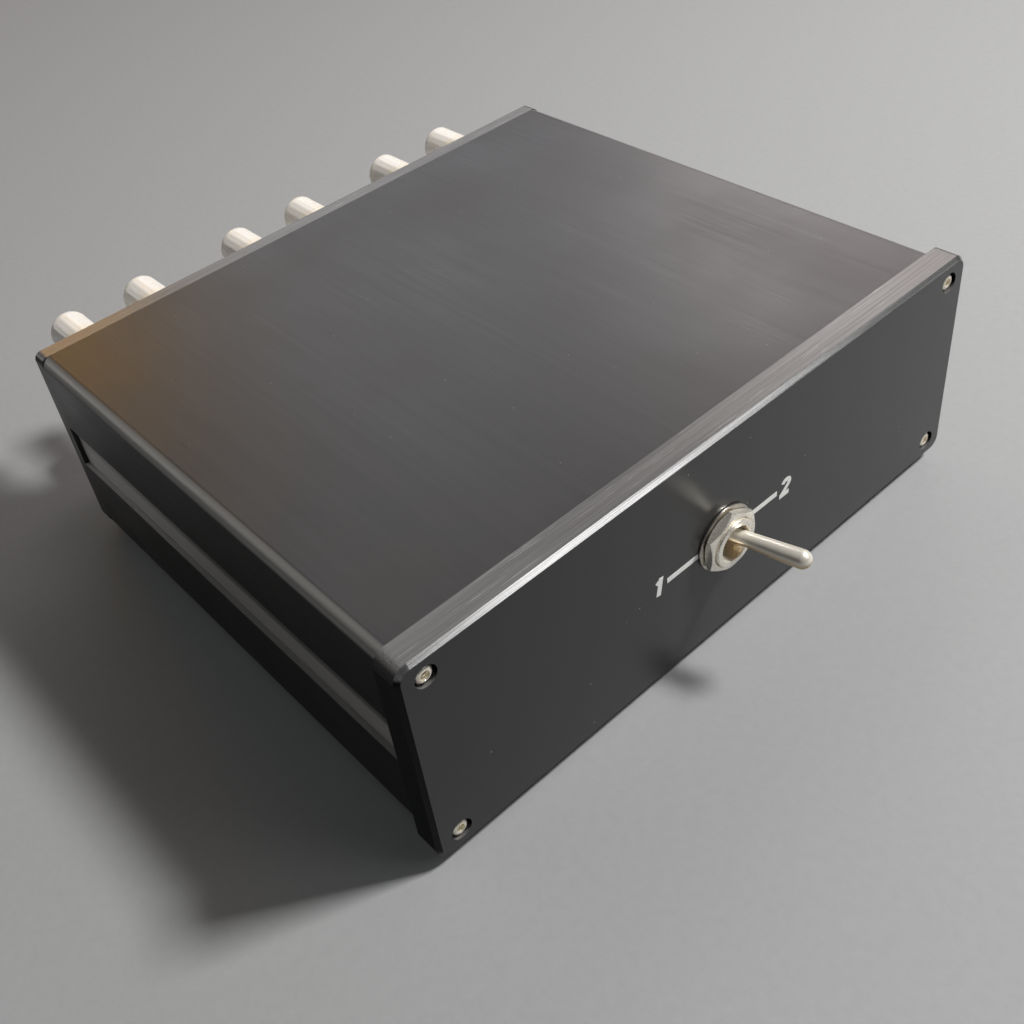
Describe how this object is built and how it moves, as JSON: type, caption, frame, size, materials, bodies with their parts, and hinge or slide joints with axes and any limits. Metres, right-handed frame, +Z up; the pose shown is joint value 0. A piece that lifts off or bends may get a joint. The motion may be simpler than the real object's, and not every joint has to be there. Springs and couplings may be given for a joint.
{
  "type": "loudspeaker selector switch box",
  "caption": "Passive two-way loudspeaker selector: a low black split aluminium box with a centre toggle switch in front and screw-cap binding posts at the rear.",
  "frame": {"origin": "on the table, under the middle of the whole box, lever and posts included", "axes": "+X to the right of the front panel, +Y from the front panel to the posts at the rear, +Z up"},
  "size_m": [0.1714, 0.1936, 0.0608],
  "materials": {
    "black_aluminium": "black anodised, fine satin",
    "screw_steel": "plated screw steel",
    "foot_rubber": "matt rubber",
    "nickel_brass": "nickel plated brass",
    "spring_steel": "spring steel",
    "zinc_steel": "zinc plated sheet steel",
    "moulded_case": "moulded phenolic",
    "laminate_base": "paper laminate",
    "carriage_plastic": "moulded plastic",
    "plunger_plastic": "moulded plastic",
    "contact_brass": "silver faced brass",
    "tinned_brass": "tinned brass",
    "gold_brass": "gold plated brass",
    "red_plastic": "glossy",
    "black_plastic": "glossy",
    "red_insulation": "wire insulation",
    "black_insulation": "wire insulation",
    "clear_cap": "clear, polished"
  },
  "bodies": {
    "case": {"top_shell": "black_aluminium", "bottom_shell": "black_aluminium", "front_panel": "black_aluminium", "rear_panel": "black_aluminium", "front_panel_screws": "screw_steel", "rear_panel_screws": "screw_steel", "rubber_feet": "foot_rubber", "toggle_bushing": "nickel_brass", "toggle_nut": "nickel_brass", "lock_washer": "spring_steel", "pivot_pin": "spring_steel", "switch_frame": "zinc_steel", "switch_case": "moulded_case", "switch_base": "laminate_base", "common_terminals": "tinned_brass", "throw_terminals": "tinned_brass", "post_studs": "gold_brass", "red_collars": "red_plastic", "black_collars": "black_plastic", "inner_insulators": "black_plastic", "post_nuts": "gold_brass", "solder_tags": "tinned_brass", "red_wires": "red_insulation", "black_wires": "black_insulation"},
    "lever": {"toggle_lever": "nickel_brass"},
    "carriage": {"contact_carriage": "carriage_plastic", "plungers": "plunger_plastic", "plunger_springs": "spring_steel"},
    "rockers": {"contact_rockers": "contact_brass"},
    "insert_1": {"cap_insert_1": "gold_brass"},
    "cap_1": {"cap_shell_1": "clear_cap"},
    "insert_2": {"cap_insert_2": "gold_brass"},
    "cap_2": {"cap_shell_2": "clear_cap"},
    "insert_3": {"cap_insert_3": "gold_brass"},
    "cap_3": {"cap_shell_3": "clear_cap"},
    "insert_4": {"cap_insert_4": "gold_brass"},
    "cap_4": {"cap_shell_4": "clear_cap"},
    "insert_5": {"cap_insert_5": "gold_brass"},
    "cap_5": {"cap_shell_5": "clear_cap"},
    "insert_6": {"cap_insert_6": "gold_brass"},
    "cap_6": {"cap_shell_6": "clear_cap"},
    "insert_7": {"cap_insert_7": "gold_brass"},
    "cap_7": {"cap_shell_7": "clear_cap"},
    "insert_8": {"cap_insert_8": "gold_brass"},
    "cap_8": {"cap_shell_8": "clear_cap"},
    "insert_9": {"cap_insert_9": "gold_brass"},
    "cap_9": {"cap_shell_9": "clear_cap"},
    "insert_10": {"cap_insert_10": "gold_brass"},
    "cap_10": {"cap_shell_10": "clear_cap"},
    "insert_11": {"cap_insert_11": "gold_brass"},
    "cap_11": {"cap_shell_11": "clear_cap"},
    "insert_12": {"cap_insert_12": "gold_brass"},
    "cap_12": {"cap_shell_12": "clear_cap"}
  },
  "joints": [
    {"name": "carriage_slide", "type": "slide", "parent": "case", "child": "carriage", "axis": [1, 0, 0], "range_m": [0, 0.0042]},
    {"name": "lever_tilt", "type": "hinge", "parent": "case", "child": "lever", "pos_m": [0, -0.07146, 0.0315], "axis": [0, 0, -1], "range_deg": [0, 26.4]},
    {"name": "rocker_tilt", "type": "hinge", "parent": "case", "child": "rockers", "pos_m": [0, -0.05511, 0.0315], "axis": [0, 0, 1], "range_deg": [0, 16.1]},
    {"name": "insert_slide_1", "type": "slide", "parent": "case", "child": "insert_1", "axis": [0, 1, 0], "range_m": [0, 0.0045]},
    {"name": "cap_turn_1", "type": "hinge", "parent": "insert_1", "child": "cap_1", "pos_m": [-0.06625, 0.08624, 0.0455], "axis": [0, 1, 0], "range_deg": [0, 2160]},
    {"name": "insert_slide_2", "type": "slide", "parent": "case", "child": "insert_2", "axis": [0, 1, 0], "range_m": [0, 0.0045]},
    {"name": "cap_turn_2", "type": "hinge", "parent": "insert_2", "child": "cap_2", "pos_m": [-0.04375, 0.08624, 0.0455], "axis": [0, 1, 0], "range_deg": [0, 2160]},
    {"name": "insert_slide_3", "type": "slide", "parent": "case", "child": "insert_3", "axis": [0, 1, 0], "range_m": [0, 0.0045]},
    {"name": "cap_turn_3", "type": "hinge", "parent": "insert_3", "child": "cap_3", "pos_m": [-0.01125, 0.08624, 0.0455], "axis": [0, 1, 0], "range_deg": [0, 2160]},
    {"name": "insert_slide_4", "type": "slide", "parent": "case", "child": "insert_4", "axis": [0, 1, 0], "range_m": [0, 0.0045]},
    {"name": "cap_turn_4", "type": "hinge", "parent": "insert_4", "child": "cap_4", "pos_m": [0.01125, 0.08624, 0.0455], "axis": [0, 1, 0], "range_deg": [0, 2160]},
    {"name": "insert_slide_5", "type": "slide", "parent": "case", "child": "insert_5", "axis": [0, 1, 0], "range_m": [0, 0.0045]},
    {"name": "cap_turn_5", "type": "hinge", "parent": "insert_5", "child": "cap_5", "pos_m": [0.04375, 0.08624, 0.0455], "axis": [0, 1, 0], "range_deg": [0, 2160]},
    {"name": "insert_slide_6", "type": "slide", "parent": "case", "child": "insert_6", "axis": [0, 1, 0], "range_m": [0, 0.0045]},
    {"name": "cap_turn_6", "type": "hinge", "parent": "insert_6", "child": "cap_6", "pos_m": [0.06625, 0.08624, 0.0455], "axis": [0, 1, 0], "range_deg": [0, 2160]},
    {"name": "insert_slide_7", "type": "slide", "parent": "case", "child": "insert_7", "axis": [0, 1, 0], "range_m": [0, 0.0045]},
    {"name": "cap_turn_7", "type": "hinge", "parent": "insert_7", "child": "cap_7", "pos_m": [-0.06625, 0.08624, 0.0175], "axis": [0, 1, 0], "range_deg": [0, 2160]},
    {"name": "insert_slide_8", "type": "slide", "parent": "case", "child": "insert_8", "axis": [0, 1, 0], "range_m": [0, 0.0045]},
    {"name": "cap_turn_8", "type": "hinge", "parent": "insert_8", "child": "cap_8", "pos_m": [-0.04375, 0.08624, 0.0175], "axis": [0, 1, 0], "range_deg": [0, 2160]},
    {"name": "insert_slide_9", "type": "slide", "parent": "case", "child": "insert_9", "axis": [0, 1, 0], "range_m": [0, 0.0045]},
    {"name": "cap_turn_9", "type": "hinge", "parent": "insert_9", "child": "cap_9", "pos_m": [-0.01125, 0.08624, 0.0175], "axis": [0, 1, 0], "range_deg": [0, 2160]},
    {"name": "insert_slide_10", "type": "slide", "parent": "case", "child": "insert_10", "axis": [0, 1, 0], "range_m": [0, 0.0045]},
    {"name": "cap_turn_10", "type": "hinge", "parent": "insert_10", "child": "cap_10", "pos_m": [0.01125, 0.08624, 0.0175], "axis": [0, 1, 0], "range_deg": [0, 2160]},
    {"name": "insert_slide_11", "type": "slide", "parent": "case", "child": "insert_11", "axis": [0, 1, 0], "range_m": [0, 0.0045]},
    {"name": "cap_turn_11", "type": "hinge", "parent": "insert_11", "child": "cap_11", "pos_m": [0.04375, 0.08624, 0.0175], "axis": [0, 1, 0], "range_deg": [0, 2160]},
    {"name": "insert_slide_12", "type": "slide", "parent": "case", "child": "insert_12", "axis": [0, 1, 0], "range_m": [0, 0.0045]},
    {"name": "cap_turn_12", "type": "hinge", "parent": "insert_12", "child": "cap_12", "pos_m": [0.06625, 0.08624, 0.0175], "axis": [0, 1, 0], "range_deg": [0, 2160]}
  ],
  "couplings": [
    {"joint": "lever_tilt", "follows": "carriage_slide", "rad_per_m": 109.66},
    {"joint": "rocker_tilt", "follows": "carriage_slide", "rad_per_m": 66.463},
    {"joint": "cap_turn_1", "follows": "insert_slide_1", "rad_per_m": 8377.6},
    {"joint": "cap_turn_2", "follows": "insert_slide_2", "rad_per_m": 8377.6},
    {"joint": "cap_turn_3", "follows": "insert_slide_3", "rad_per_m": 8377.6},
    {"joint": "cap_turn_4", "follows": "insert_slide_4", "rad_per_m": 8377.6},
    {"joint": "cap_turn_5", "follows": "insert_slide_5", "rad_per_m": 8377.6},
    {"joint": "cap_turn_6", "follows": "insert_slide_6", "rad_per_m": 8377.6},
    {"joint": "cap_turn_7", "follows": "insert_slide_7", "rad_per_m": 8377.6},
    {"joint": "cap_turn_8", "follows": "insert_slide_8", "rad_per_m": 8377.6},
    {"joint": "cap_turn_9", "follows": "insert_slide_9", "rad_per_m": 8377.6},
    {"joint": "cap_turn_10", "follows": "insert_slide_10", "rad_per_m": 8377.6},
    {"joint": "cap_turn_11", "follows": "insert_slide_11", "rad_per_m": 8377.6},
    {"joint": "cap_turn_12", "follows": "insert_slide_12", "rad_per_m": 8377.6}
  ]
}
